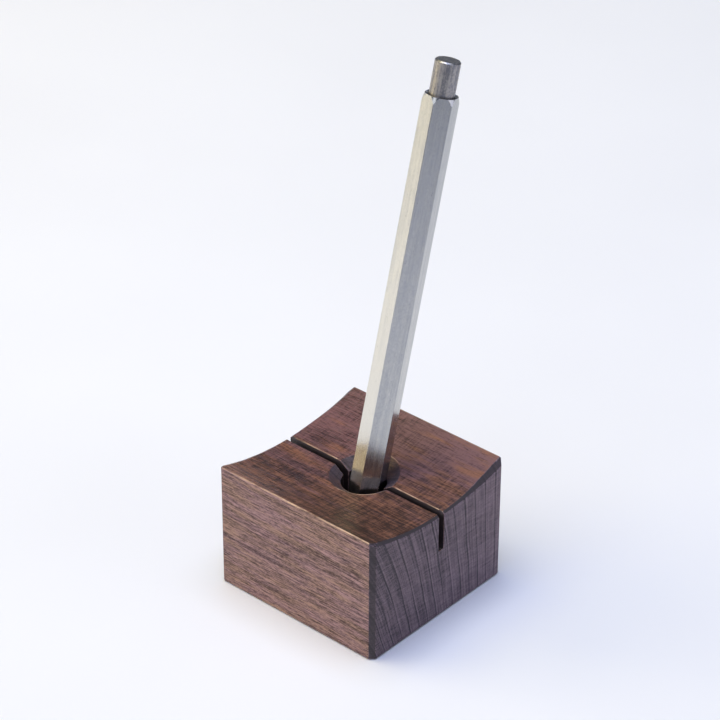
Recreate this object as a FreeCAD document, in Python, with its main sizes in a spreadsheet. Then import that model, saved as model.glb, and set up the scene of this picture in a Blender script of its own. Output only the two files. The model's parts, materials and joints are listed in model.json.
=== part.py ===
"""Desk pencil stand: a walnut block with a coved top, and the hexagonal push pencil that stands in it.

Row frame, millimetres: the origin is the middle of the block's underside, +X runs along the grain and
the saw slot, +Y towards the side that the pencil leans to, and +Z is up. Every piece of the pencil is
drawn upright with its tip at the origin, and one placement seats them all in the block.
"""
import FreeCAD, Part

import os
import re
import Sketcher
from FreeCAD import Placement, Rotation, Vector

SIZES = {
    # stand block
    "block_length": 50.0,
    "block_width": 48.6,
    "block_height": 34.2,
    "cove_depth": 4.25,
    "corner_chamfer": 1.25,
    "long_edge_chamfer": 0.5,
    "end_edge_chamfer": 0.85,
    "base_chamfer": 0.4,
    # pencil hole and saw slot, both a little off the middle
    "hole_along": 0.1,
    "hole_across": 0.8,
    "hole_radius": 5.7,
    "hole_mouth_radius": 8.45,
    "hole_mouth_depth": 2.0,
    "hole_floor": 16.25,
    "slot_across": 0.65,
    "slot_width": 1.9,
    "slot_floor": 19.4,
    "slot_lip": 0.3,
    # where the pencil stands: the tip's place, and how the axis leans, heads and rolls
    "tip_along": 0.71,
    "tip_across": -1.3,
    "tip_height": 16.8,
    "pencil_lean": 14.4,
    "pencil_heading": 89.0,
    "pencil_roll": 16.9,
    # hexagonal barrel
    "across_flats": 7.73,
    "barrel_front": 7.6,
    "barrel_rear": 110.5,
    "barrel_front_land": 3.75,
    "barrel_rear_land": 4.0,
    "barrel_edge_round": 0.2,
    "barrel_front_bevel": 1.3,
    "barrel_rear_bevel": 1.7,
    "barrel_bore": 2.9,
    "barrel_counterbore": 3.35,
    "barrel_mouth": 3.7,
    "barrel_mouth_depth": 0.5,
    "counterbore_floor": 86.7,
    # nose cone and its rubber lead retainer
    "nose_front": 2.4,
    "nose_front_radius": 1.15,
    "nose_rear_radius": 3.65,
    "nose_land": 0.5,
    "nose_spigot_length": 8.6,
    "retainer_floor": 4.6,
    "retainer_room": 6.8,
    "retainer_radius": 1.55,
    "retainer_length": 2.0,
    "chuck_room_radius": 1.8,
    "ring_stop": 11.1,
    "ring_room_radius": 1.95,
    # lead sleeve and leads
    "sleeve_radius": 0.75,
    "sleeve_bore": 0.5,
    "lead_radius": 0.45,
    "lead_start": 0.65,
    "lead_length": 50.0,
    "spare_lead_start": 34.0,
    "spare_lead_length": 55.0,
    "spare_lead_offset": 1.02,
    # chuck, its closing ring and its guide
    "chuck_front": 11.2,
    "chuck_head_length": 2.4,
    "chuck_head_radius": 1.5,
    "chuck_neck_radius": 1.0,
    "chuck_tail": 27.0,
    "chuck_slit_width": 0.25,
    "chuck_slit_length": 9.0,
    "ring_front": 12.0,
    "ring_length": 1.6,
    "ring_radius": 1.85,
    "ring_bore_front": 1.53,
    "ring_bore_rear": 1.34,
    "guide_front": 13.7,
    "guide_bore": 1.1,
    "guide_flange": 0.9,
    # return spring
    "spring_wire_radius": 0.22,
    "spring_radius": 1.95,
    "spring_turns": 9.0,
    "spring_length": 12.0,
    # connector, lead tube and its guide bush
    "connector_front": 22.0,
    "connector_nose_radius": 1.45,
    "connector_flange": 0.8,
    "connector_flange_radius": 2.5,
    "connector_plug_radius": 1.65,
    "connector_plug_length": 3.5,
    "tube_radius": 2.0,
    "tube_bore": 1.65,
    "tube_rear": 107.7,
    "bush_length": 3.0,
    "bush_bore": 2.08,
    # eraser, its holder and the push button
    "holder_stem_length": 3.0,
    "holder_radius": 2.45,
    "holder_bore": 2.2,
    "holder_length": 6.0,
    "eraser_length": 8.0,
    "button_front": 97.2,
    "button_top": 118.9,
    "button_radius": 3.1,
    "button_bore": 2.65,
    "liner_length": 4.0,
    "button_crown": 1.2,
    "button_edge": 0.3,
}

SPARE_LEADS = 3
OVER = 6.0  # how far a cutting profile runs past the solid that it cuts


def make_sheet(document, sizes):
    """Write the driving dimensions to a spreadsheet, one named cell each."""
    sheet = document.addObject("Spreadsheet::Sheet", "Sizes")
    for row, (name, value) in enumerate(sizes.items(), start=1):
        sheet.set(f"A{row}", name)
        sheet.set(f"B{row}", str(value))
        sheet.setAlias(f"B{row}", name)
    document.recompute()
    return sheet


def bound(text):
    """Turn the sheet's names in an expression into references to its cells."""
    return re.sub(r"[a-z_]+", lambda word: ("Sizes." if word.group() in SIZES else "") + word.group(), text)


def make_body(label, seat):
    """Start a body with its own label and place."""
    body = document.addObject("PartDesign::Body", label)
    body.Label = label
    body.Placement = seat
    return body


def origin_plane(body, role):
    """Find one of the body's own origin planes by its role."""
    return next(item for item in body.Origin.OriginFeatures if item.Role == role)


def make_sketch(body, role, offset=None):
    """Attach an empty sketch to an origin plane, moved by three expressions in the plane's frame."""
    sketch = body.newObject("Sketcher::SketchObject", f"{body.Label}_sketch")
    sketch.AttachmentSupport = [(origin_plane(body, role), "")]
    sketch.MapMode = "FlatFace"
    for axis, text in zip("xyz", offset or ()):
        sketch.setExpression(f"AttachmentOffset.Base.{axis}", bound(text))
    return sketch


def pin_point(sketch, line, across, up):
    """Hold a line's start at two expressions from the sketch's origin; a plain 0 puts it on the axis."""
    for kind, text, axis in (("DistanceX", across, -2), ("DistanceY", up, -1)):
        if text == "0":
            sketch.addConstraint(Sketcher.Constraint("PointOnObject", line, 1, axis))
            continue
        index = sketch.addConstraint(Sketcher.Constraint(kind, -1, 1, line, 1, line + 1.0))
        sketch.setExpression(f"Constraints[{index}]", bound(text))


def draw_outline(sketch, corners):
    """Draw a closed outline whose corners are pairs of expressions in the sketch's own axes."""
    count = len(corners)
    starts = [Vector(index + 1.0, index * index + 1.0, 0) for index in range(count)]
    for index in range(count):
        sketch.addGeometry(Part.LineSegment(starts[index], starts[(index + 1) % count]), False)
    for index in range(count):
        sketch.addConstraint(Sketcher.Constraint("Coincident", index, 2, (index + 1) % count, 1))
    for index, (across, up) in enumerate(corners):
        pin_point(sketch, index, across, up)
    return sketch


def revolve(body, corners, kind="PartDesign::Revolution", offset=None):
    """Turn an outline of (radius, height) corners a full circle about the upright axis."""
    sketch = draw_outline(make_sketch(body, "XZ_Plane", offset), corners)
    feature = body.newObject(kind, f"{body.Label}_turned")
    feature.Profile = sketch
    feature.ReferenceAxis = (sketch, ["V_Axis"])
    feature.Angle = 360
    return feature


def turn_away(body, corners, offset=None):
    """Cut a turned outline out of the body, and make sure that it takes material away."""
    document.recompute()
    before = body.Shape.Volume
    revolve(body, corners, "PartDesign::Groove", offset)
    expect_less(body, before)


def pocket_through(body, sketch):
    """Cut a sketch right through the body, both ways from its plane."""
    document.recompute()
    before = body.Shape.Volume
    pocket = body.newObject("PartDesign::Pocket", f"{body.Label}_cut")
    pocket.Profile = sketch
    pocket.SideType = "Symmetric"
    pocket.Type = "ThroughAll"
    expect_less(body, before)
    return pocket


def expect_less(body, before):
    """Stop if a cut left the body's volume as it was."""
    document.recompute()
    if body.Shape.Volume >= before - 1e-6:
        raise ValueError(f"a cut in {body.Label} removes nothing")


def turned_piece(label, seat, corners):
    """Make a piece that is one turned outline."""
    body = make_body(label, seat)
    revolve(body, corners)
    return body


def edge_middle(edge):
    """Give the point halfway along an edge."""
    return edge.valueAt((edge.FirstParameter + edge.LastParameter) / 2)


def dress_edges(body, kind, size_name, size, wanted):
    """Chamfer or fillet the edges whose middle point passes a test."""
    document.recompute()
    base = body.Tip
    names = [f"Edge{number}" for number, edge in enumerate(body.Shape.Edges, start=1)
             if wanted(edge_middle(edge))]
    feature = body.newObject(kind, f"{body.Label}_dressed")
    feature.Base = (base, names)
    feature.setExpression(size_name, bound(size))
    document.recompute()
    return feature


def chamfer(body, size, wanted):
    """Chamfer the edges whose middle point passes a test."""
    return dress_edges(body, "PartDesign::Chamfer", "Size", size, wanted)


def fillet(body, size, wanted):
    """Round the edges whose middle point passes a test."""
    return dress_edges(body, "PartDesign::Fillet", "Radius", size, wanted)


def make_stand_block():
    """Walnut block: coved top, chamfered edges, countersunk pencil hole and a saw slot along the grain."""
    body = make_body("stand_block", Placement())
    outline = make_sketch(body, "XY_Plane")
    ends = ("-block_length / 2", "block_length / 2")
    sides = ("-block_width / 2", "block_width / 2")
    draw_outline(outline, [(ends[0], sides[0]), (ends[1], sides[0]), (ends[1], sides[1]), (ends[0], sides[1])])
    pad = body.newObject("PartDesign::Pad", "block_pad")
    pad.Profile = outline
    pad.setExpression("Length", bound("block_height"))

    cove = make_sketch(body, "YZ_Plane")
    cove.addGeometry(Part.Circle(Vector(0, 100, 0), Vector(0, 0, 1), 70), False)
    cove.addConstraint(Sketcher.Constraint("PointOnObject", 0, 3, -2))
    radius = "(block_width ^ 2 / (8 * cove_depth) + cove_depth / 2)"
    height = cove.addConstraint(Sketcher.Constraint("DistanceY", -1, 1, 0, 3, 100.0))
    cove.setExpression(f"Constraints[{height}]", bound(f"block_height - cove_depth + {radius}"))
    size = cove.addConstraint(Sketcher.Constraint("Radius", 0, 70.0))
    cove.setExpression(f"Constraints[{size}]", bound(radius))
    pocket_through(body, cove)

    half_length = SIZES["block_length"] / 2
    half_width = SIZES["block_width"] / 2
    height = SIZES["block_height"]
    chamfer(body, "corner_chamfer",
            lambda middle: abs(abs(middle.x) - half_length) < 0.01 and abs(abs(middle.y) - half_width) < 0.01)
    chamfer(body, "end_edge_chamfer",
            lambda middle: abs(abs(middle.x) - half_length) < 0.01 and middle.z > height * 0.7
            and abs(middle.y) < 1)
    chamfer(body, "long_edge_chamfer",
            lambda middle: abs(abs(middle.y) - half_width) < 0.01 and middle.z > height * 0.9
            and abs(middle.x) < 1)
    chamfer(body, "base_chamfer", lambda middle: middle.z < 0.01)

    hole = [("0", "hole_floor"),
            ("hole_radius", "hole_floor"),
            ("hole_radius", "block_height - cove_depth - hole_mouth_depth"),
            ("2 * hole_mouth_radius - hole_radius", "block_height - cove_depth + hole_mouth_depth"),
            ("0", "block_height - cove_depth + hole_mouth_depth")]
    turn_away(body, hole, ("hole_along", "0", "-hole_across"))

    near = "slot_across - slot_width / 2"
    far = "slot_across + slot_width / 2"
    lip = "block_height - cove_depth - slot_lip"
    slot = make_sketch(body, "YZ_Plane")
    draw_outline(slot, [(near, "slot_floor"), (far, "slot_floor"), (far, lip),
                        (f"{far} + {OVER}", f"{lip} + {OVER}"), (f"{near} - {OVER}", f"{lip} + {OVER}"),
                        (near, lip)])
    pocket_through(body, slot)
    return body


def make_barrel(seat):
    """Hexagonal barrel: bevelled to round at both ends, with a stepped bore and a flared mouth."""
    body = make_body("barrel", seat)
    hexagon = make_sketch(body, "XY_Plane", ("0", "0", "barrel_front"))
    draw_outline(hexagon, [(f"across_flats / sqrt(3) * cos({60 * corner})",
                            f"across_flats / sqrt(3) * sin({60 * corner})") for corner in range(6)])
    pad = body.newObject("PartDesign::Pad", "barrel_pad")
    pad.Profile = hexagon
    pad.setExpression("Length", bound("barrel_rear - barrel_front"))

    middle_height = (SIZES["barrel_front"] + SIZES["barrel_rear"]) / 2
    fillet(body, "barrel_edge_round", lambda middle: abs((seat.inverse() * middle).z - middle_height) < 0.01)

    corner = "across_flats / sqrt(3)"
    turn_away(body, [("barrel_front_land", "barrel_front"),
                     (f"{corner} + {OVER}", "barrel_front"),
                     (f"{corner} + {OVER}", "barrel_front + barrel_front_bevel"),
                     (corner, "barrel_front + barrel_front_bevel")])
    turn_away(body, [("barrel_rear_land", "barrel_rear"),
                     (f"{corner} + {OVER}", "barrel_rear"),
                     (f"{corner} + {OVER}", "barrel_rear - barrel_rear_bevel"),
                     (corner, "barrel_rear - barrel_rear_bevel")])
    turn_away(body, [("0", f"barrel_front - {OVER}"),
                     ("barrel_bore", f"barrel_front - {OVER}"),
                     ("barrel_bore", "counterbore_floor"),
                     ("barrel_counterbore", "counterbore_floor"),
                     ("barrel_counterbore", "barrel_rear - barrel_mouth_depth"),
                     ("barrel_mouth", "barrel_rear"),
                     ("barrel_mouth", f"barrel_rear + {OVER}"),
                     ("0", f"barrel_rear + {OVER}")])
    return body


def make_nose_cone(seat):
    """Nose cone: a short taper ahead of the barrel, and a spigot that screws into it."""
    spigot_end = "barrel_front + nose_spigot_length"
    return turned_piece("nose_cone", seat, [
        ("sleeve_radius", "nose_front"),
        ("nose_front_radius", "nose_front"),
        ("nose_rear_radius", "barrel_front - nose_land"),
        ("nose_rear_radius", "barrel_front"),
        ("barrel_bore", "barrel_front"),
        ("barrel_bore", spigot_end),
        ("ring_room_radius", spigot_end),
        ("ring_room_radius", "ring_stop"),
        ("chuck_room_radius", "ring_stop"),
        ("chuck_room_radius", "retainer_room"),
        ("retainer_radius", "retainer_room"),
        ("retainer_radius", "retainer_floor"),
        ("sleeve_radius", "retainer_floor")])


def make_chuck(seat):
    """Brass chuck: a tapered head split into three jaws by slits that run back along the neck."""
    body = make_body("chuck", seat)
    head_end = "chuck_front + chuck_head_length"
    revolve(body, [("sleeve_bore", "chuck_front"),
                   ("chuck_head_radius - 0.2", "chuck_front"),
                   ("chuck_head_radius", "chuck_front + 0.3"),
                   ("chuck_head_radius", "chuck_front + 0.8"),
                   ("chuck_head_radius - 0.2", head_end),
                   ("chuck_neck_radius", head_end),
                   ("chuck_neck_radius", "chuck_tail"),
                   ("sleeve_bore", "chuck_tail")])
    slit = make_sketch(body, "XY_Plane", ("0", "0", "chuck_front"))
    half = "chuck_slit_width / 2"
    draw_outline(slit, [("0", f"-{half}"), ("chuck_head_radius + 1", f"-{half}"),
                        ("chuck_head_radius + 1", half), ("0", half)])
    document.recompute()
    before = body.Shape.Volume
    pocket = body.newObject("PartDesign::Pocket", "chuck_slit")
    pocket.Profile = slit
    pocket.Reversed = True
    pocket.setExpression("Length", bound("chuck_slit_length"))
    expect_less(body, before)
    pattern = body.newObject("PartDesign::PolarPattern", "chuck_slits")
    pattern.Originals = [pocket]
    pattern.Axis = (slit, ["N_Axis"])
    pattern.Angle = 360
    pattern.Occurrences = 3
    body.Tip = pattern
    return body


def make_spring(seat):
    """Return spring: a round wire wound between the chuck guide and the connector's flange."""
    body = make_body("chuck_spring", seat)
    wire = make_sketch(body, "XZ_Plane")
    wire.addGeometry(Part.Circle(Vector(2, 17, 0), Vector(0, 0, 1), 0.2), False)
    start = "barrel_front + nose_spigot_length + guide_flange + spring_wire_radius + 0.05"
    for kind, size in (("DistanceX", "spring_radius"), ("DistanceY", start)):
        index = wire.addConstraint(Sketcher.Constraint(kind, -1, 1, 0, 3, 2.0))
        wire.setExpression(f"Constraints[{index}]", bound(size))
    index = wire.addConstraint(Sketcher.Constraint("Radius", 0, 0.2))
    wire.setExpression(f"Constraints[{index}]", bound("spring_wire_radius"))
    coil = body.newObject("PartDesign::AdditiveHelix", "spring_coil")
    coil.Profile = wire
    coil.ReferenceAxis = (wire, ["V_Axis"])
    coil.Mode = "height-turns-angle"
    coil.setExpression("Height", bound("spring_length"))
    coil.setExpression("Turns", bound("spring_turns"))
    return body


def make_spare_leads(seat):
    """Three spare leads standing round the working lead in the lead tube."""
    leads = []
    for number in range(SPARE_LEADS):
        body = make_body(f"spare_lead_{number + 1}", seat)
        turn = 360 / SPARE_LEADS * number
        offset = (f"spare_lead_offset * cos({turn})", "0", f"spare_lead_offset * sin({turn})")
        revolve(body, [("0", "spare_lead_start"),
                       ("lead_radius", "spare_lead_start"),
                       ("lead_radius", "spare_lead_start + spare_lead_length"),
                       ("0", "spare_lead_start + spare_lead_length")], offset=offset)
        leads.append(body)
    return leads


def make_turned_pieces(seat):
    """Make every piece of the pencil that is a single turned outline."""
    spigot_end = "barrel_front + nose_spigot_length"
    flange_end = f"{spigot_end} + guide_flange"
    connector_seat = f"{flange_end} + spring_length + 2 * spring_wire_radius + 0.1"
    connector_end = f"{connector_seat} + connector_flange"
    return [
        turned_piece("lead_sleeve", seat, [
            ("sleeve_bore", "0"), ("sleeve_radius", "0"),
            ("sleeve_radius", "retainer_floor"), ("sleeve_bore", "retainer_floor")]),
        turned_piece("lead_retainer", seat, [
            ("sleeve_bore", "retainer_floor"), ("retainer_radius", "retainer_floor"),
            ("retainer_radius", "retainer_floor + retainer_length"),
            ("sleeve_bore + 0.4", "retainer_floor + retainer_length")]),
        turned_piece("lead", seat, [
            ("0", "lead_start"), ("lead_radius", "lead_start"),
            ("lead_radius", "lead_start + lead_length"), ("0", "lead_start + lead_length")]),
        turned_piece("chuck_ring", seat, [
            ("ring_bore_front", "ring_front"), ("ring_radius", "ring_front"),
            ("ring_radius", "ring_front + ring_length"), ("ring_bore_rear", "ring_front + ring_length")]),
        turned_piece("chuck_guide", seat, [
            ("guide_bore", "guide_front"), ("ring_room_radius", "guide_front"),
            ("ring_room_radius", spigot_end), ("barrel_bore", spigot_end),
            ("barrel_bore", flange_end), ("guide_bore", flange_end)]),
        turned_piece("chuck_connector", seat, [
            ("chuck_neck_radius", "connector_front"), ("connector_nose_radius", "connector_front"),
            ("connector_nose_radius", connector_seat), ("connector_flange_radius", connector_seat),
            ("connector_flange_radius", connector_end), ("connector_plug_radius", connector_end),
            ("connector_plug_radius", f"{connector_end} + connector_plug_length"),
            ("chuck_neck_radius", f"{connector_end} + connector_plug_length")]),
        turned_piece("lead_tube", seat, [
            ("tube_bore", connector_end), ("tube_radius", connector_end),
            ("tube_radius", "tube_rear"), ("tube_bore", "tube_rear")]),
        turned_piece("tube_bush", seat, [
            ("bush_bore", "counterbore_floor"), ("barrel_counterbore", "counterbore_floor"),
            ("barrel_counterbore", "counterbore_floor + bush_length"),
            ("bush_bore", "counterbore_floor + bush_length")]),
        turned_piece("eraser_holder", seat, [
            ("0", "tube_rear - holder_stem_length"), ("tube_bore", "tube_rear - holder_stem_length"),
            ("tube_bore", "tube_rear"), ("holder_radius", "tube_rear"),
            ("holder_radius", "tube_rear + holder_length"), ("holder_bore", "tube_rear + holder_length"),
            ("holder_bore", "tube_rear + 0.4"), ("0", "tube_rear + 0.4")]),
        turned_piece("eraser", seat, [
            ("0", "tube_rear + 0.4"), ("holder_bore", "tube_rear + 0.4"),
            ("holder_bore", "tube_rear + eraser_length"),
            ("holder_bore - 0.3", "tube_rear + 0.3 + eraser_length"),
            ("0", "tube_rear + 0.3 + eraser_length")]),
        turned_piece("push_button", seat, [
            ("button_bore", "button_front"), ("button_radius", "button_front"),
            ("button_radius", "button_top - button_edge"), ("button_radius - button_edge", "button_top"),
            ("0", "button_top"), ("0", "button_top - button_crown"),
            ("button_bore", "button_top - button_crown")]),
        turned_piece("button_liner", seat, [
            ("tube_radius", "button_front"), ("button_bore", "button_front"),
            ("button_bore", "button_front + liner_length"),
            ("tube_radius", "button_front + liner_length")]),
    ]


def check_document(pieces):
    """Stop if any object failed to compute or any piece isn't a sound solid."""
    for item in document.Objects:
        if "Invalid" in item.State or "Error" in item.State:
            raise ValueError(f"{item.Label} failed: {item.State}")
    for piece in pieces:
        shape = piece.Shape
        if shape.isNull() or not shape.isValid() or not shape.Solids or shape.Volume <= 0:
            raise ValueError(f"{piece.Label} isn't a sound solid")


document = FreeCAD.newDocument("pencil_stand")
sheet = make_sheet(document, SIZES)

pencil_seat = Placement(
    Vector(sheet.get("tip_along"), sheet.get("tip_across"), sheet.get("tip_height")),
    Rotation(Vector(0, 0, 1), sheet.get("pencil_heading"))
    * Rotation(Vector(0, 1, 0), sheet.get("pencil_lean"))
    * Rotation(Vector(0, 0, 1), sheet.get("pencil_roll")))

pieces = [make_stand_block(), make_barrel(pencil_seat), make_nose_cone(pencil_seat),
          make_chuck(pencil_seat), make_spring(pencil_seat)]
pieces += make_spare_leads(pencil_seat)
pieces += make_turned_pieces(pencil_seat)
document.recompute()
check_document(pieces)

os.makedirs("parts", exist_ok=True)
for piece in pieces:
    piece.Shape.exportStep(f"parts/{piece.Label}.step")
    print(f"{piece.Label}: {len(piece.Shape.Solids)} solid(s), {piece.Shape.Volume:.2f} mm3")
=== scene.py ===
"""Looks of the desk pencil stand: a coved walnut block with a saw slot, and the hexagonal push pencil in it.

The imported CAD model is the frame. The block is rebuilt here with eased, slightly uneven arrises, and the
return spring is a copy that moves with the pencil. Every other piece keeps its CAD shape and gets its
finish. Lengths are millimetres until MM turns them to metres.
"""
import json
import math

import bmesh
import bpy
from mathutils import Matrix, Vector, noise


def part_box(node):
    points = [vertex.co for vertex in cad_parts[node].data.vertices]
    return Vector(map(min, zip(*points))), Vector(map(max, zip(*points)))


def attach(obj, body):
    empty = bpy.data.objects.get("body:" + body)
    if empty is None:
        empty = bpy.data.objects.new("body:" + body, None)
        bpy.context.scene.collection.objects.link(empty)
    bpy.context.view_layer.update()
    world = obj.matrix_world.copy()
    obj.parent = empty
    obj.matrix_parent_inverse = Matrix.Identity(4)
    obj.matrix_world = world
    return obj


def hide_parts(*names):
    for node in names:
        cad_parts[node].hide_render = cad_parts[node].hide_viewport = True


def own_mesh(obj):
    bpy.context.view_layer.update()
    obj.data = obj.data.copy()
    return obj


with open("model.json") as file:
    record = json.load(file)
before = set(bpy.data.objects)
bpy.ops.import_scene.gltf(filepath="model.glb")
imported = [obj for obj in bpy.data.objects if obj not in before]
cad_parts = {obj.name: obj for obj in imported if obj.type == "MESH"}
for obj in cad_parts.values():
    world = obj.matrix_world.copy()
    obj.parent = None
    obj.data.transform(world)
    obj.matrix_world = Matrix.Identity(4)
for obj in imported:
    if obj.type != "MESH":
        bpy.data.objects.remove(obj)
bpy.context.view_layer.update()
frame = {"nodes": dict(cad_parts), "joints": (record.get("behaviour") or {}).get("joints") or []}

MM = 0.001

# ---------------------------------------------------------------------------------------------- sizes
BLOCK_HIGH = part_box("stand_block")[1] / MM
HALF_LENGTH = BLOCK_HIGH.x
HALF_WIDTH = BLOCK_HIGH.y
COVE_LOW = 29.95
COVE_RADIUS = 71.6
HOLE_ALONG, HOLE_ACROSS = 0.1, 0.8
HOLE_RADIUS = 5.7
HOLE_FLOOR = 16.25
MOUTH_RADIUS = 8.45
MOUTH_DEPTH = 2.0
SLOT_ACROSS = 0.65
SLOT_WIDTH = 1.9
SLOT_FLOOR = 19.4
CORNER_CHAMFER = 1.25
LONG_CHAMFER = 0.3
BASE_CHAMFER = 0.4

JOINTS = {joint["name"]: joint for joint in frame["joints"]}
AXIS = Vector(JOINTS["pencil_lift"]["axis"])
TIP = Vector((0.71, -1.3, 16.8)) * MM   # the pencil's tip, down in the hole

# the chamfer on an end edge: its width in the middle, what each corner adds, and its unevenness
END_CHAMFER = 0.64
END_CHAMFER_BACK, END_CHAMFER_FRONT = 0.75, 0.15
WIDENING_STARTS, WIDENING_ENDS = 6.0, 23.0
END_CHAMFER_WANDER = 0.05
CORNER_TOP_CHAMFER = 0.45


# ------------------------------------------------------------------------------------- block, as a mesh
def cove(across):
    """Height of the coved top at a distance across the block."""
    return COVE_LOW + COVE_RADIUS - math.sqrt(COVE_RADIUS ** 2 - across ** 2)


def smooth(low, high, value):
    """Rises smoothly from 0 at low to 1 at high."""
    share = min(1.0, max(0.0, (value - low) / (high - low)))
    return share * share * (3 - 2 * share)


def end_chamfer(along, across):
    """Width of the hand-cut chamfer on an end edge: narrow in the middle, wider towards the corners."""
    back = END_CHAMFER_BACK * smooth(WIDENING_STARTS, WIDENING_ENDS, across)
    front = END_CHAMFER_FRONT * smooth(WIDENING_STARTS, WIDENING_ENDS, -across)
    wander = END_CHAMFER_WANDER * noise.noise(Vector((along, across * 0.35, 0.0)))
    return END_CHAMFER + back + front + wander


def spread(first, last, count):
    """Evenly spaced numbers from first to last, in so many steps."""
    return [first + (last - first) * step / count for step in range(count + 1)]


def coons(near, far, left, right):
    """Rows of points that fill the space between four edges.

    near and far both run from left to right, and left and right both run from near to far.
    """
    rows = []
    for j in range(len(left)):
        t = j / (len(left) - 1)
        row = []
        for i in range(len(near)):
            s = i / (len(near) - 1)
            ruled = near[i] * (1 - t) + far[i] * t + left[j] * (1 - s) + right[j] * s
            corners = (near[0] * (1 - s) + near[-1] * s) * (1 - t) + (far[0] * (1 - s) + far[-1] * s) * t
            row.append(ruled - corners)
        rows.append(row)
    return rows


FACE, ARRIS, CUT, CHAMFER, MOUTH = range(5)   # the block's material slots


def add_grid(mesh, rows, slot=FACE, slots=None):
    """Faces between rows of points, all with one material slot, or with one for each column."""
    verts = [[mesh.verts.new(point) for point in row] for row in rows]
    for low, high in zip(verts, verts[1:]):
        for i in range(len(low) - 1):
            face = mesh.faces.new((low[i], low[i + 1], high[i + 1], high[i]))
            face.material_index = slots[i] if slots else slot


ALONG_STEPS = 48      # along the block's long sides
CORNER_STEPS = 2      # across a corner chamfer
ACROSS_STEPS = 18     # from the slot to a long side
ARC_STEPS = 26        # round half of the hole
SLOT_STEPS = 13       # along the slot, each side of the hole
WALL_STEPS = 6        # down the walls to the slot's floor
CONE_STEPS = 2        # down the countersink
LOW_WALL_STEPS = 5    # from the slot's floor to the base


def slot_lip(side):
    """The slot's edge on one side, as a distance across the block."""
    return SLOT_ACROSS + side * SLOT_WIDTH / 2


def rim_point(turn):
    """Point where the countersink's cone meets the coved top."""
    radius = MOUTH_RADIUS
    for _ in range(6):
        height = cove(HOLE_ACROSS + radius * math.sin(turn))
        radius = MOUTH_RADIUS + (height - COVE_LOW) * (MOUTH_RADIUS - HOLE_RADIUS) / MOUTH_DEPTH
    return Vector((HOLE_ALONG + radius * math.cos(turn), HOLE_ACROSS + radius * math.sin(turn), height))


def arc_turns(side, radius):
    """Angles round half of the hole at a radius, from the slot's +X lip to its -X lip."""
    first = math.asin((slot_lip(side) - HOLE_ACROSS) / radius)
    return spread(first, side * math.pi - first, ARC_STEPS)


def wall_plan(side):
    """The half block's outline: +X end from the slot, corner, long side, corner, and -X end to the slot."""
    lip = slot_lip(side)
    long_side = side * HALF_WIDTH
    corner = side * (HALF_WIDTH - CORNER_CHAMFER)
    end = [(HALF_LENGTH, across) for across in spread(lip, corner, ACROSS_STEPS)]
    bend = [(HALF_LENGTH - CORNER_CHAMFER * share, corner + (long_side - corner) * share)
            for share in spread(0, 1, CORNER_STEPS)]
    straight = [(along, long_side) for along in
                spread(HALF_LENGTH - CORNER_CHAMFER, CORNER_CHAMFER - HALF_LENGTH, ALONG_STEPS)]
    half = end + bend[1:] + straight[1:]
    return half + [(-along, across) for along, across in (end + bend[1:])[::-1][1:]]


def inset_plan(side):
    """The same outline moved in by the top chamfer's width, and that width at each point."""
    lip = slot_lip(side)
    corner = side * (HALF_WIDTH - CORNER_CHAMFER)
    corner_shift = CORNER_TOP_CHAMFER * math.sqrt(2)
    points = []
    widths = []
    for sign in (1, -1):
        run = []
        for share in spread(0, 1, ACROSS_STEPS):
            across = lip + (corner - lip) * share
            width = end_chamfer(sign * HALF_LENGTH, across)
            shift = side * (width - corner_shift) * share
            run.append(((sign * (HALF_LENGTH - width), across + shift), width))
        last_width = run[-1][1]
        start = Vector(run[-1][0])
        finish = Vector((sign * (HALF_LENGTH - CORNER_CHAMFER - corner_shift + LONG_CHAMFER),
                         side * (HALF_WIDTH - LONG_CHAMFER)))
        for share in spread(0, 1, CORNER_STEPS)[1:]:
            width = last_width + (LONG_CHAMFER - last_width) * share
            run.append((tuple(start.lerp(finish, share)), width))
        points.append([point for point, _ in run])
        widths.append([width for _, width in run])
    straight = [(along, side * (HALF_WIDTH - LONG_CHAMFER))
                for along in spread(points[0][-1][0], points[1][-1][0], ALONG_STEPS)]
    plan = points[0] + straight[1:] + points[1][::-1][1:]
    width = widths[0] + [LONG_CHAMFER] * (ALONG_STEPS - 1) + widths[1][::-1]
    return plan, width


def round_point(turn, radius, height):
    """A point round the hole's axis."""
    return Vector((HOLE_ALONG + radius * math.cos(turn), HOLE_ACROSS + radius * math.sin(turn), height))


def add_outside(mesh, side, top):
    """The half block's outer walls, from the top's outline to the base.

    Returns the outlines at the shoulder, the slot's floor, the foot and the ground.
    """
    _, widths = inset_plan(side)
    shoulder = [Vector((along, across, cove(across) - width))
                for (along, across), width in zip(wall_plan(side), widths)]

    def lowered(height, inset=0.0):
        shrink = 1 - inset / HALF_LENGTH
        return [Vector((point.x * shrink, point.y * shrink, height)) for point in shoulder]

    at_slot_floor = lowered(SLOT_FLOOR)
    foot = lowered(BASE_CHAMFER)
    ground = lowered(0.0, BASE_CHAMFER)
    chamfer_slots = [CHAMFER] * (ACROSS_STEPS + CORNER_STEPS)
    wall_slots = [FACE] * ACROSS_STEPS + [CHAMFER] * CORNER_STEPS
    add_grid(mesh, [top, shoulder], slots=chamfer_slots + [ARRIS] * ALONG_STEPS + chamfer_slots)
    walls = ((shoulder, at_slot_floor, WALL_STEPS), (at_slot_floor, foot, LOW_WALL_STEPS))
    for upper, lower, steps in walls:
        rows = [[a.lerp(b, share) for a, b in zip(upper, lower)] for share in spread(0, 1, steps)]
        add_grid(mesh, rows, slots=wall_slots + [FACE] * ALONG_STEPS + wall_slots[::-1])
    add_grid(mesh, [foot, ground], CHAMFER)
    return shoulder, at_slot_floor, foot, ground


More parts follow.
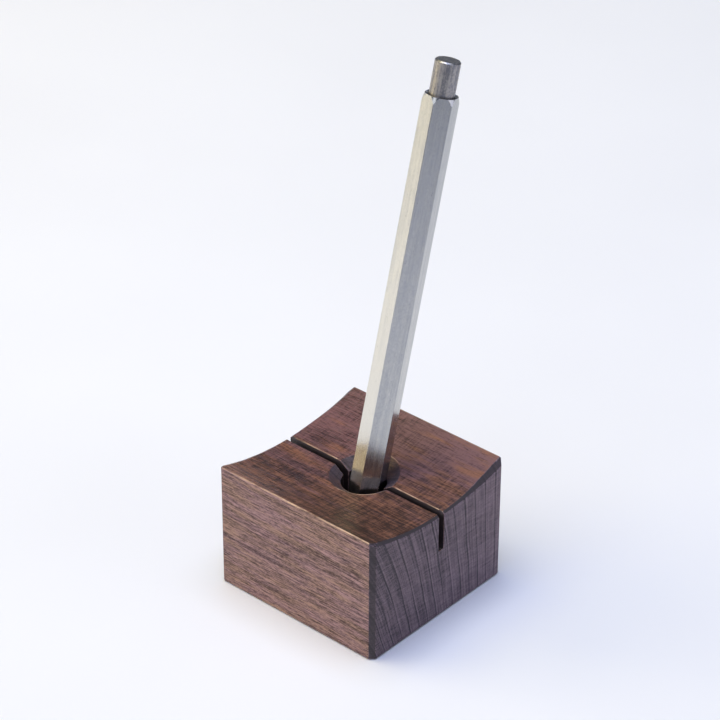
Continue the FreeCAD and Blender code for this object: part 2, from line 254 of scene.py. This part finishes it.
def hole_rings(side):
    """Half rings down the hole: from the countersink's rim to its neck, then to the slot's floor."""
    lip = slot_lip(side)
    rim = [rim_point(turn) for turn in arc_turns(side, MOUTH_RADIUS)]
    # the rim's ends lie exactly on the slot's lip
    for end in (0, -1):
        rim[end] = Vector((rim[end].x, lip, cove(lip)))
    neck_height = COVE_LOW - MOUTH_DEPTH
    turns = arc_turns(side, HOLE_RADIUS)
    neck = [round_point(turn, HOLE_RADIUS, neck_height) for turn in turns]
    rings = [rim]
    for share in spread(0, 1, CONE_STEPS)[1:]:
        ring = [a.lerp(b, share) for a, b in zip(rim, neck)]
        for end in (0, -1):
            ring[end].y = lip
        rings.append(ring)
    for share in spread(0, 1, WALL_STEPS - CONE_STEPS)[1:]:
        height = neck_height + (SLOT_FLOOR - neck_height) * share
        rings.append([round_point(turn, HOLE_RADIUS, height) for turn in turns])
    return rings


def add_half(mesh, side):
    """One half of the block, on one side of the slot.

    Returns its outlines at the ground and at the foot, and the hole's half ring at the slot's floor.
    """
    plan, _ = inset_plan(side)
    top = [Vector((along, across, cove(across))) for along, across in plan]
    shoulder, at_slot_floor, foot, ground = add_outside(mesh, side, top)

    rings = hole_rings(side)
    rim = rings[0]
    lip = slot_lip(side)
    slot_right, slot_left = ([Vector((along, lip, cove(lip))) for along in spread(first, last, SLOT_STEPS)]
                             for first, last in ((top[0].x, rim[0].x), (rim[-1].x, top[-1].x)))
    inner = slot_right + rim[1:-1] + slot_left
    outer = top[ACROSS_STEPS:-ACROSS_STEPS]
    surface = coons(inner, outer, top[:ACROSS_STEPS + 1], top[::-1][:ACROSS_STEPS + 1])
    for row in surface:
        for point in row:
            point.z = cove(point.y)
    add_grid(mesh, surface)
    add_grid(mesh, rings[:CONE_STEPS + 1], MOUTH)
    add_grid(mesh, rings[CONE_STEPS:], CUT)

    for end, edge in ((0, slot_right), (-1, slot_left[::-1])):
        outside = [shoulder[end].lerp(at_slot_floor[end], share) for share in spread(0, 1, WALL_STEPS)]
        inside = [ring[end] for ring in rings]
        upper = [outside[0]] + edge
        lower = [outside[-1].lerp(inside[-1], i / len(edge)) for i in range(len(edge) + 1)]
        add_grid(mesh, coons(upper, lower, outside, inside), CUT)
    return ground, foot, rings[-1]


def build_block():
    """The whole block: its halves, the slot's floor between them, the hole's lower part and the base."""
    mesh = bmesh.new()
    front_ground, front_foot, front_ring = add_half(mesh, -1)
    back_ground, back_foot, back_ring = add_half(mesh, 1)

    openings = {}
    for end, key in ((0, "right"), (-1, "left")):
        a, b = front_ring[end], back_ring[end]
        hole_middle = Vector((HOLE_ALONG, HOLE_ACROSS, SLOT_FLOOR))
        middle = ((a + b) / 2 - hole_middle).normalized() * HOLE_RADIUS + hole_middle
        openings[key] = [a, middle, b]
        outside = [Vector((front_foot[end].x, across, SLOT_FLOOR))
                   for across in (a.y, (a.y + b.y) / 2, b.y)]
        floor = [[o.lerp(i, step / (SLOT_STEPS + 1)) for o, i in zip(outside, openings[key])]
                 for step in range(SLOT_STEPS + 2)]
        add_grid(mesh, floor, CUT)
        foot = [front_foot[end], (front_foot[end] + back_foot[end]) / 2, back_foot[end]]
        add_grid(mesh, [[o.lerp(f, share) for o, f in zip(outside, foot)]
                        for share in spread(0, 1, LOW_WALL_STEPS)])
        ground = [front_ground[end], (front_ground[end] + back_ground[end]) / 2, back_ground[end]]
        add_grid(mesh, [foot, ground])

    loop = front_ring + openings["left"][1:-1] + back_ring[::-1] + openings["right"][1:-1]
    low = [Vector((point.x, point.y, HOLE_FLOOR)) for point in loop]
    add_grid(mesh, [loop + loop[:1], low + low[:1]], CUT)
    mesh.faces.new([mesh.verts.new(point) for point in low])
    middle_right = (front_ground[0] + back_ground[0]) / 2
    middle_left = (front_ground[-1] + back_ground[-1]) / 2
    under = front_ground + [middle_left] + back_ground[::-1] + [middle_right]
    mesh.faces.new([mesh.verts.new(point) for point in under])

    bmesh.ops.remove_doubles(mesh, verts=mesh.verts, dist=0.001)
    bmesh.ops.recalc_face_normals(mesh, faces=mesh.faces)
    ease_weights(mesh)
    for face in mesh.faces:
        face.smooth = True
    bmesh.ops.scale(mesh, vec=(MM, MM, MM), verts=mesh.verts)
    data = bpy.data.meshes.new("walnut_block")
    mesh.to_mesh(data)
    mesh.free()
    block = bpy.data.objects.new("walnut_block", data)
    bpy.context.collection.objects.link(block)
    return block


# how far the arrises are rounded over
WIDEST_EASE = 0.32
LIP_EASE, HOLE_EASE, FOOT_EASE, EDGE_EASE = 0.20, 0.18, 0.15, 0.16
SHARP = math.radians(22)
HOLE_SURROUND = 10    # arrises nearer to the hole's axis than this belong to the hole
END_MARGIN = 2        # how far in from the ends and long sides an end chamfer's own arrises reach


def ease_width(place):
    """How far the arris through a place is rounded over. An end chamfer's own arrises stay crisp."""
    at_top = place.z > cove(place.y) - 0.2
    at_end = abs(place.x) > HALF_LENGTH - END_MARGIN and abs(place.y) < HALF_WIDTH - END_MARGIN
    on_lip = abs(abs(place.y - SLOT_ACROSS) - SLOT_WIDTH / 2) < 0.01 and place.z > COVE_LOW - 0.1
    at_foot = place.z < 1.0
    by_hole = math.hypot(place.x - HOLE_ALONG, place.y - HOLE_ACROSS) < HOLE_SURROUND
    if at_top and at_end:
        return 0.0
    if on_lip:
        return LIP_EASE
    if at_foot:
        return FOOT_EASE
    return HOLE_EASE if by_hole else EDGE_EASE


def ease_weights(mesh):
    """Marks each outward arris with its rounding, as a share of the widest one."""
    weight = mesh.edges.layers.float.new("bevel_weight_edge")
    for edge in mesh.edges:
        if len(edge.link_faces) == 2 and edge.calc_face_angle_signed() >= SHARP:
            edge[weight] = ease_width((edge.verts[0].co + edge.verts[1].co) / 2) / WIDEST_EASE


def ease_arrises(block):
    """Rounds the marked arrises over, and leans the normals there so that the faces stay flat."""
    ease = block.modifiers.new("eased_arrises", "BEVEL")
    ease.limit_method = "WEIGHT"
    ease.width = WIDEST_EASE * MM
    ease.segments = 3
    ease.material = ARRIS
    ease.use_clamp_overlap = False
    ease.harden_normals = False
    lean_normals = block.modifiers.new("face_normals", "WEIGHTED_NORMAL")
    lean_normals.keep_sharp = True


block = build_block()
ease_arrises(block)
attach(block, "stand")
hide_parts("stand_block")


# ------------------------------------------------------------------------------------ material helpers
class Shader:
    """A node material whose values are worked out in millimetres of the piece's own space."""

    def __init__(self, name):
        self.material = bpy.data.materials.new(name)
        self.material.use_nodes = True
        self.tree = self.material.node_tree
        self.principled = self.tree.nodes["Principled BSDF"]
        coordinates = self.tree.nodes.new("ShaderNodeTexCoord")
        self.normal = coordinates.outputs["Normal"]
        self.place = self.vector("MULTIPLY", coordinates.outputs["Object"], (1 / MM,) * 3)

    def node(self, kind, inputs, **settings):
        made = self.tree.nodes.new(kind)
        for key, value in settings.items():
            setattr(made, key, value)
        for key, value in inputs.items():
            if isinstance(value, bpy.types.NodeSocket):
                self.tree.links.new(value, made.inputs[key])
            else:
                made.inputs[key].default_value = value
        return made

    def vector(self, operation, first, second=(0, 0, 0)):
        made = self.node("ShaderNodeVectorMath", {0: first, 1: second}, operation=operation)
        return made.outputs["Value" if operation in ("DOT_PRODUCT", "LENGTH") else "Vector"]

    def math(self, operation, first, second=0.0, third=0.0):
        return self.node("ShaderNodeMath", {0: first, 1: second, 2: third}, operation=operation).outputs[0]

    def split(self, vector):
        return self.node("ShaderNodeSeparateXYZ", {0: vector}).outputs

    def join(self, x, y, z):
        return self.node("ShaderNodeCombineXYZ", {0: x, 1: y, 2: z}).outputs[0]

    def noise(self, vector, scale, detail=2.0, roughness=0.5):
        """Noise from 0 to 1 with so many cells to a millimetre along each axis."""
        scaled = self.vector("MULTIPLY", vector, scale)
        made = self.node("ShaderNodeTexNoise", {"Vector": scaled, "Scale": 1.0, "Detail": detail,
                                                "Roughness": roughness})
        return made.outputs["Fac"]

    def cloud(self, vector, scale, detail):
        """A vector of three slow noises, each from about -0.5 to 0.5."""
        scaled = self.vector("MULTIPLY", vector, scale)
        made = self.node("ShaderNodeTexNoise", {"Vector": scaled, "Scale": 1.0, "Detail": detail})
        return self.vector("SUBTRACT", made.outputs["Color"], (0.5, 0.5, 0.5))

    def centred(self, value):
        """A value from 0 to 1 moved down to lie round 0."""
        return self.math("SUBTRACT", value, 0.5)

    def add_up(self, total, *parts):
        """A total with each part's value added, times the part's weight."""
        for value, weight in parts:
            total = self.math("MULTIPLY_ADD", value, weight, total)
        return total

    def ramp(self, value, low, high, first=0.0, last=1.0):
        """Rises smoothly from first, where the value is low, to last, where it is high."""
        made = self.node("ShaderNodeMapRange", {"Value": value, "From Min": low, "From Max": high,
                                                "To Min": first, "To Max": last},
                         interpolation_type="SMOOTHSTEP")
        return made.outputs[0]

    def fall(self, value, low, high):
        """Falls smoothly from 1 at low to 0 at high."""
        return self.ramp(value, low, high, 1.0, 0.0)

    def band(self, value, start, full, fading, end):
        """1 between full and fading, and 0 before start and after end."""
        return self.math("MULTIPLY", self.ramp(value, start, full), self.fall(value, fading, end))

    def mix(self, share, first, last):
        """A blend of two colours. Each is a socket, or red, green and blue."""
        ends = {key: (*colour, 1) if isinstance(colour, tuple) else colour
                for key, colour in ((6, first), (7, last))}
        return self.node("ShaderNodeMix", {0: share, **ends}, data_type="RGBA").outputs[2]

    def bump(self, height, distance, strength=1.0):
        """Relief from a height of 0 to 1, so many millimetres deep."""
        inputs = {"Height": height, "Distance": distance * MM, "Strength": strength}
        return self.node("ShaderNodeBump", inputs).outputs[0]

    def finish(self, **inputs):
        """The material, once the shader's own inputs are set. An underscore in a name stands for a space."""
        for key, value in inputs.items():
            socket = self.principled.inputs[key.replace("_", " ")]
            if isinstance(value, bpy.types.NodeSocket):
                self.tree.links.new(value, socket)
            else:
                socket.default_value = value
        return self.material


# ---------------------------------------------------------------------------------------------- walnut
RING_SPACING = 3.6
RING_LEAN, RING_FAN = 0.19, -0.0084   # how much the rings lean, and how that changes across the block
RING_CENTRE = 17.0                    # the height that the rings lean about

# the darkest and the palest tone of each kind of wood
MAUVE_SIDE = (0.070, 0.031, 0.034), (0.455, 0.268, 0.262)
TAN_SIDE = (0.070, 0.033, 0.027), (0.465, 0.278, 0.205)
OILED_TOP = (0.018, 0.007, 0.008), (0.210, 0.100, 0.097)
AMBER_TOP = (0.030, 0.011, 0.006), (0.277, 0.119, 0.072)
END_GRAIN = (0.027, 0.017, 0.024), (0.248, 0.174, 0.208)

PORE = (0.030, 0.015, 0.015)
# rubbed wear with a painted highlight on the arrises
WORN_AND_HIGHLIT_ARRIS = (0.74, 0.50, 0.34)
BARE_CUT = (0.042, 0.034, 0.038)
# sawdust in the slot, with a painted bluish sky reflection
DUST_AND_PAINTED_SKY_CUT = (0.095, 0.090, 0.110)
# painted shade deep in the saw slot
PAINTED_SLOT_SHADE = (0.012, 0.006, 0.008)
WORN_AND_HIGHLIT_RIM_SIDE = (0.60, -0.80, 0.0)      # the side of the hole where its rim is rubbed and carries a painted highlight


class Walnut(Shader):
    """Walnut with its grain along X: rings, fibres, open pores and rays, all solid through the block."""

    def __init__(self, name):
        super().__init__(name)
        self.facing = self.split(self.normal)
        self.upward = self.ramp(self.facing[2], 0.5, 0.9)
        self.along, _, self.height = self.split(self.place)

        # slow waves bend the grain
        slow = self.cloud(self.place, (0.035, 0.09, 0.09), 1.0)
        wave = self.vector("MULTIPLY", slow, (0.0, 1.7, 1.7))
        self.bent = self.vector("ADD", self.place, wave)
        self.x, self.y, self.z = self.split(self.bent)
        self.lay_rings(wave)

        self.fibre = self.noise(self.bent, (0.20, 3.6, 3.6), 3.0, 0.75)
        self.pore = self.ramp(self.noise(self.bent, (0.28, 4.6, 4.6), 2.0), 0.58, 0.66)
        self.sanding = self.noise(self.place, (3.0, 0.15, 0.15), 3.0, 0.75)

    def lay_rings(self, wave):
        """Growth rings, which lean and fan out a little across the block."""
        half_wave = self.vector("MULTIPLY", wave, (0.5, 0.5, 0.5))
        _, y, z = self.split(self.vector("ADD", self.place, half_wave))
        lean = self.math("MULTIPLY_ADD", y, RING_FAN, RING_LEAN)
        ring = self.math("MULTIPLY_ADD", lean, self.math("SUBTRACT", z, RING_CENTRE), y)
        turn = self.math("FRACT", self.math("DIVIDE", ring, RING_SPACING))
        self.late_wood = self.band(turn, 0.78, 0.93, 0.94, 0.99)
        self.early_wood = self.band(turn, 0.0, 0.03, 0.03, 0.14)
        self.grain = self.join(self.x, ring, self.z)
        year = self.noise(self.join(self.math("MULTIPLY", self.x, 0.02), ring, 0.0), (1.0, 0.33, 1.0), 3.0)
        self.year_tone = self.add_up(0.5, (self.centred(year), 0.6))

    def long_tone(self):
        """How pale the wood is along its fibres."""
        streak = self.noise(self.bent, (0.035, 1.4, 1.4), 3.0, 0.6)
        thread = self.noise(self.place, (0.28, 6.5, 6.5), 2.0, 0.6)
        strand = self.ramp(self.noise(self.bent, (0.06, 2.3, 2.3), 2.0), 0.42, 0.56)
        grit = self.noise(self.place, (1.1, 2.6, 2.6), 2.0, 0.6)
        glint = self.ramp(self.noise(self.bent, (0.24, 4.6, 4.6), 2.0), 0.58, 0.68)
        return self.add_up(self.year_tone,
                           (self.centred(streak), 1.8),
                           (self.centred(self.fibre), 2.0),
                           (self.centred(thread), 2.6),
                           (self.centred(strand), 0.22),
                           (self.centred(grit), 1.3),
                           (glint, 0.45))

    def end_tone(self):
        """How pale the end grain is, with its rings, the rays across them, a fine speckle and painted light,
        paler towards +Y.
        """
        ray = self.noise(self.grain, (0.5, 0.30, 2.6), 3.0)
        ring_line = self.noise(self.grain, (0.05, 2.2, 0.10), 3.0)
        speckle = self.noise(self.place, (4.2, 4.2, 4.2), 2.0, 0.7)
        return self.add_up(self.year_tone,
                           (self.late_wood, -0.46),
                           (self.early_wood, 0.24),
                           # painted light: the end grain is paler towards +Y
                           (self.y, 0.006),
                           (self.centred(ray), 1.1),
                           (self.centred(ring_line), 1.4),
                           (self.centred(speckle), 1.7))

    def top_tone(self, long_tone):
        """How pale the oiled top is, with softer fibres, patches, sanding marks across the grain, and
        painted light: shade towards the front, paler to the back and the left, and a painted sheen at the
        front right.
        """
        fibres = self.math("SUBTRACT", long_tone, self.year_tone)
        patch = self.noise(self.place, (0.09, 0.14, 0.14), 3.0, 0.55)
        # painted light: shade darkens the top towards the front, it pales to the back and left, and a
        # painted sheen lightens the front right
        painted_front_shade = self.math("MULTIPLY_ADD", self.along, 0.0005, 0.015)
        painted_light_drift = self.vector("DOT_PRODUCT", self.place, (-0.0055, 0.003, 0.0))
        painted_front_sheen = self.math("MULTIPLY", self.fall(self.y, -21.0, -13.0), self.ramp(self.x, -8.0, 8.0))
        return self.add_up(self.year_tone,
                           (fibres, 0.72),
                           (self.centred(patch), 1.05),
                           (self.centred(self.sanding), 1.9),
                           (self.y, painted_front_shade),
                           (painted_light_drift, 1.0),
                           (painted_front_sheen, 0.26))

    def colour(self):
        """Colour of the wood on its sides, its oiled top and its ends, with dark pores."""
        long_tone = self.long_tone()
        side_tone = self.add_up(long_tone, (self.late_wood, -0.16))
        top_tone = self.top_tone(long_tone)
        hue = self.noise(self.bent, (0.06, 0.45, 0.45), 3.0, 0.6)
        # the hue noise is the wood's own; the drift along x and y is painted light, more amber to the front
        # right and duller to the back left
        amber_hue_and_painted_light = self.add_up(hue, (self.x, 0.004), (self.y, -0.007))
        end_grain = self.ramp(self.math("ABSOLUTE", self.facing[0]), 0.30, 0.55)

        mauve, tan = (self.mix(side_tone, *tones) for tones in (MAUVE_SIDE, TAN_SIDE))
        oiled, amber = (self.mix(top_tone, *tones) for tones in (OILED_TOP, AMBER_TOP))
        side_wood = self.mix(self.ramp(hue, 0.35, 0.65), mauve, tan)
        top_wood = self.mix(self.ramp(amber_hue_and_painted_light, 0.38, 0.62), oiled, amber)
        wood = self.mix(self.upward, side_wood, top_wood)
        wood = self.mix(end_grain, wood, self.mix(self.end_tone(), *END_GRAIN))
        return self.mix(self.math("MULTIPLY", self.pore, 0.45), wood, PORE)

    def arris_wear_and_highlight(self, wear_and_highlight):
        """Where the arrises are rubbed and carry a painted highlight, in patches: the front of the hole's
        rim, and the edges.
        """
        from_hole = self.vector("SUBTRACT", self.place, (HOLE_ALONG, HOLE_ACROSS, COVE_LOW))
        distance = self.vector("LENGTH", self.vector("MULTIPLY", from_hole, (1, 1, 0)))
        by_hole = self.fall(distance, 9.2, 9.8)
        # painted highlight on the hole's rim, on its front right side
        front = self.ramp(self.vector("DOT_PRODUCT", from_hole, WORN_AND_HIGHLIT_RIM_SIDE), 6.0, 8.0)
        rim = self.math("MULTIPLY", by_hole, front)
        elsewhere = self.math("SUBTRACT", 1.0, by_hole)
        edges = self.math("MULTIPLY", elsewhere, self.fall(self.facing[1], -0.25, 0.0))
        along_grain = self.fall(self.math("ABSOLUTE", self.facing[0]), 0.25, 0.55)
        raised = self.ramp(self.facing[2], 0.15, 0.45)
        patchy = self.ramp(self.noise(self.place, (0.18, 0.6, 0.6), 3.0, 0.6), 0.28, 0.62)
        patchy = self.math("MULTIPLY", patchy, self.ramp(self.along, -26.0, -8.0, 0.35, 1.0))
        share = self.math("MULTIPLY", self.math("MULTIPLY", along_grain, raised),
                          self.math("MULTIPLY", patchy, wear_and_highlight))
        return self.math("MULTIPLY", share, self.math("MAXIMUM", rim, edges))

    def roughness(self):
        """Satin, rougher in the pores, and polished by use on the left part of the top."""
        polished = self.math("MULTIPLY", self.fall(self.along, -9.0, -1.0), self.upward)
        return self.add_up(0.50, (self.centred(self.fibre), 0.25), (polished, -0.22), (self.pore, 0.2))

    def relief(self):
        """Raised fibres, sunken pores, and the sanding marks on the top."""
        fibres = self.math("MULTIPLY", self.fibre, 0.7)
        marks = self.math("MULTIPLY", self.sanding, self.upward)
        return self.bump(self.add_up(fibres, (self.pore, -0.9), (marks, 0.35)), 0.06, 0.8)


def walnut(name, wear_and_highlight=0.0, sawn=0.0, bare=BARE_CUT, deep=0.0):
    """The block's wood, on one kind of face.

    The wear share lightens an arris with rubbed wear and a painted highlight, and sawn brings a cut that
    sandpaper never reached towards its bare colour. deep paints shade into the lower part of the saw cut.
    """
    s = Walnut(name)
    wood = s.colour()
    # rubbed wear and a painted highlight on the arrises
    if wear_and_highlight:
        wood = s.mix(s.arris_wear_and_highlight(wear_and_highlight), wood, WORN_AND_HIGHLIT_ARRIS)
    if sawn:
        wood = s.mix(s.add_up(sawn, (s.upward, 0.35 * sawn)), wood, bare)
    # painted shade: the saw cut darkens below the top
    if deep:
        wood = s.mix(s.ramp(s.height, 28.0, 30.5, deep, 0.0), wood, PAINTED_SLOT_SHADE)
    return s.finish(Base_Color=wood, Roughness=s.roughness(), Normal=s.relief(), IOR=1.45,
                    Specular_IOR_Level=0.45)


# in the order of FACE, ARRIS, CUT, CHAMFER and MOUTH
for finish in (walnut("walnut"),
               walnut("walnut_arris", wear_and_highlight=0.9),
               # the slot's bluish tint is a painted sky reflection over sawdust, and its lower part gets
               # painted shade
               walnut("walnut_cut", sawn=0.85, bare=DUST_AND_PAINTED_SKY_CUT, deep=0.9),
               walnut("walnut_chamfer", sawn=0.74),
               walnut("walnut_countersink", sawn=0.45)):
    block.data.materials.append(finish)


# ----------------------------------------------------------------------------------------- other finishes
HIGHLIGHT_SIDE = (-0.34, -0.94, 0.0)   # the way the flats with the painted highlight face
DARK_LINES_AND_SHADE = 0.62                    # tones of the draw lines and of the painted shade and highlight on the flats, as shares of a metal's colour
BRIGHT_LINES_AND_HIGHLIGHT = (1.24, 1.17, 1.03)
DUST = (0.12, 0.11, 0.11)


def pencil_place(s):
    """Place in the pencil's own space: distance along its axis from the tip is Z."""
    sideways = AXIS.cross(Vector((0, 0, 1))).normalized()
    third = AXIS.cross(sideways)
    from_tip = s.vector("SUBTRACT", s.place, tuple(TIP / MM))
    return s.join(s.vector("DOT_PRODUCT", from_tip, tuple(sideways)),
                  s.vector("DOT_PRODUCT", from_tip, tuple(third)),
                  s.vector("DOT_PRODUCT", from_tip, tuple(AXIS)))


def drawn_metal(name, colour, roughness, line_depth, streaks, mottle, painted_light_drift=0.3, painted_length_fade=0.0):
    """Metal with fine draw lines along the pencil, faint mottling, dust specks and a painted highlight on
    its flats.

    Its tone changes round the pencil as painted light, paler on the flats that face one way and darker on
    the rest, and that painted highlight changes by opposite amounts at the tip and at the rear.
    """
    s = Shader(name)
    place = pencil_place(s)
    line = s.noise(place, (9.0, 9.0, 0.10), 3.0, 0.7)
    broad = s.noise(place, (1.6, 1.6, 0.05), 2.0)
    cloud = s.noise(place, (1.1, 1.1, 0.45), 4.0, 0.6)
    grit = s.noise(place, (2.8, 2.8, 2.0), 2.0, 0.6)
    dust = s.ramp(s.noise(place, (2.2, 2.2, 2.2), 1.0), 0.73, 0.76)
    tone = s.add_up(0.5, (s.centred(line), streaks), (s.centred(broad), streaks),
                    (s.centred(cloud), mottle), (s.centred(grit), mottle))
    # painted highlight and shade: flats facing along one line are made paler and the rest darker, more so
    # towards one end
    side = s.vector("DOT_PRODUCT", s.normal, HIGHLIGHT_SIDE)
    highlight_facing = s.math("MULTIPLY", side, side)
    towards_tip = s.ramp(s.split(place)[2], 10.0, 110.0, 1.0, -1.0)
    tone = s.add_up(s.math("SUBTRACT", tone, painted_light_drift / 2),
                    (highlight_facing, painted_light_drift), (s.math("MULTIPLY", highlight_facing, towards_tip), painted_length_fade))
    dark = tuple(channel * DARK_LINES_AND_SHADE for channel in colour)
    light = tuple(channel * gain for channel, gain in zip(colour, BRIGHT_LINES_AND_HIGHLIGHT))
    metal = s.mix(s.ramp(tone, 0.0, 1.0), dark, light)
    metal = s.mix(s.math("MULTIPLY", dust, 0.5), metal, DUST)
    rough = s.add_up(roughness, (s.centred(line), 0.22), (s.centred(cloud), 0.12))
    return s.finish(Base_Color=metal, Metallic=1.0, Roughness=rough, Normal=s.bump(line, line_depth, 0.6))


def plain_finish(name, colour, roughness, grain, depth, metallic=0.0):
    """Moulded, cut or cast material with a cloudy colour.

    Its fine relief has so many cells to a millimetre, and is so many millimetres deep.
    """
    s = Shader(name)
    cloud = s.noise(s.place, (0.6, 0.6, 0.6), 3.0)
    fine = s.noise(s.place, (grain,) * 3, 3.0, 0.65)
    tone = s.add_up(cloud, (s.centred(fine), 0.6))
    dark = tuple(channel * 0.82 for channel in colour)
    light = tuple(min(1.0, channel * 1.15) for channel in colour)
    tint = s.mix(s.ramp(tone, 0.2, 0.8), dark, light)
    rough = s.add_up(roughness, (s.centred(fine), 0.2))
    return s.finish(Base_Color=tint, Metallic=metallic, Roughness=rough, Normal=s.bump(fine, depth, 0.6))


FINISHES = {
    # each metal's tone carries a painted highlight on its flats, strongest on the barrel
    "barrel_metal": lambda: drawn_metal("satin_metal", (0.60, 0.62, 0.65), 0.20, line_depth=0.002,
                                        streaks=0.45, mottle=0.4, painted_light_drift=0.58, painted_length_fade=0.3),
    "button_metal": lambda: drawn_metal("button_metal", (0.355, 0.355, 0.385), 0.43, line_depth=0.006,
                                        streaks=1.8, mottle=1.6),
    "sleeve_steel": lambda: drawn_metal("sleeve_steel", (0.66, 0.66, 0.67), 0.22, line_depth=0.002,
                                        streaks=0.4, mottle=0.3),
    "chuck_brass": lambda: plain_finish("turned_brass", (0.78, 0.56, 0.26), 0.28, 9.0, 0.003, metallic=1.0),
    "spring_steel": lambda: plain_finish("spring_wire", (0.52, 0.52, 0.54), 0.24, 12.0, 0.002, metallic=1.0),
    "dark_plastic": lambda: plain_finish("black_moulding", (0.030, 0.030, 0.032), 0.42, 7.0, 0.004),
    "tube_plastic": lambda: plain_finish("tube_moulding", (0.78, 0.79, 0.80), 0.38, 5.0, 0.003),
    "retainer_rubber": lambda: plain_finish("retainer_rubber", (0.040, 0.038, 0.038), 0.68, 8.0, 0.008),
    "eraser_rubber": lambda: plain_finish("eraser_rubber", (0.84, 0.82, 0.80), 0.72, 6.0, 0.012),
    "graphite": lambda: plain_finish("graphite", (0.060, 0.060, 0.065), 0.34, 10.0, 0.004, metallic=0.6),
}
# each finish is made once and shared by its pieces
made = {}
for node_name, node in frame["nodes"].items():
    if node_name == "stand_block":
        continue
    slot_name = node.data.materials[0].name.split(".")[0]
    if slot_name not in made:
        made[slot_name] = FINISHES[slot_name]()
    node.data.materials.clear()
    node.data.materials.append(made[slot_name])


# ---------------------------------------------------------------------------------------- return spring
def shortening_spring():
    """The return spring as a piece of its own, which moves with the pencil."""
    node = frame["nodes"]["chuck_spring"]
    spring = bpy.data.objects.new("return_spring", node.data.copy())
    bpy.context.collection.objects.link(spring)
    spring.matrix_world = node.matrix_world
    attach(spring, "pencil")
    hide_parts("chuck_spring")
    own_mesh(spring)


shortening_spring()


# -------------------------------------------------------------------------------- floor, light and camera
FLOOR_REACH = 3.0    # metres from the middle to each side
FLOOR_TINTS = (0.862, 0.866, 0.888), (0.882, 0.886, 0.908)


def pale_floor():
    mesh = bmesh.new()
    bmesh.ops.create_grid(mesh, x_segments=8, y_segments=8, size=FLOOR_REACH)
    data = bpy.data.meshes.new("floor")
    mesh.to_mesh(data)
    mesh.free()
    floor = bpy.data.objects.new("floor", data)
    bpy.context.collection.objects.link(floor)
    s = Shader("pale_floor")
    soft = s.noise(s.place, (0.01, 0.01, 0.01), 2.0)
    tint = s.mix(s.ramp(soft, 0.3, 0.7), *FLOOR_TINTS)
    floor.data.materials.append(s.finish(Base_Color=tint, Roughness=0.85))


LIGHT_DISTANCE, LIGHT_SIZE = 1.4, 0.9   # metres


def softbox(name, azimuth, elevation, colour, power, size=LIGHT_SIZE):
    """A square soft light round the object; azimuth 0 stands on the -Y side and 90 on the +X side."""
    data = bpy.data.lights.new(name, "AREA")
    data.shape = "SQUARE"
    data.size = size
    data.color = colour
    data.energy = power
    light = bpy.data.objects.new(name, data)
    bpy.context.collection.objects.link(light)
    turn, rise = math.radians(azimuth), math.radians(elevation)
    away = Vector((math.sin(turn) * math.cos(rise), -math.cos(turn) * math.cos(rise), math.sin(rise)))
    light.location = away * LIGHT_DISTANCE
    light.rotation_euler = away.to_track_quat("Z", "Y").to_euler()


def soft_world(colour, strength):
    world = bpy.data.worlds.new("studio")
    world.use_nodes = True
    background = world.node_tree.nodes["Background"]
    background.inputs["Color"].default_value = (*colour, 1)
    background.inputs["Strength"].default_value = strength
    bpy.context.scene.world = world


AZIMUTH, PITCH, ROLL = math.radians(41.29), math.radians(32.10), math.radians(0.2412)
AIM = Vector((-20.2, 22.3, 44.3)) * MM
DISTANCE = 0.709    # metres
LENS = 142.25


def place_camera():
    """The camera looks at AIM from DISTANCE away, a little rolled to one side."""
    camera = bpy.data.objects.new("camera", bpy.data.cameras.new("camera"))
    bpy.context.collection.objects.link(camera)
    camera.data.lens = LENS
    camera.data.clip_start = 0.01
    back = Vector((math.sin(AZIMUTH) * math.cos(PITCH),
                   -math.cos(AZIMUTH) * math.cos(PITCH),
                   math.sin(PITCH)))
    right = Vector((0, 0, 1)).cross(back).normalized()
    up = back.cross(right)
    turned_right = right * math.cos(ROLL) + up * math.sin(ROLL)
    turned_up = up * math.cos(ROLL) - right * math.sin(ROLL)
    axes = Matrix((turned_right, turned_up, back)).transposed()
    camera.matrix_world = Matrix.Translation(AIM + back * DISTANCE) @ axes.to_4x4()
    bpy.context.scene.camera = camera


pale_floor()
soft_world((0.8, 0.86, 1.0), 0.24)
softbox("overhead", 0, 90, (0.68, 0.77, 1.0), 12.8)
softbox("warm_key", -62, 66, (1.0, 0.86, 0.30), 7.2)
softbox("blue_fill", 0, 66, (0.10, 0.15, 1.0), 2.6)
softbox("left_wall", -60, 21, (1.0, 0.84, 0.50), 6.8, 0.8)
softbox("front_strip", -5, 26, (0.90, 0.93, 1.0), 1.1, 0.5)
softbox("right_wall", 112, 12, (0.88, 0.87, 1.0), 3.3)
place_camera()
bpy.context.scene.view_settings.view_transform = "Standard"
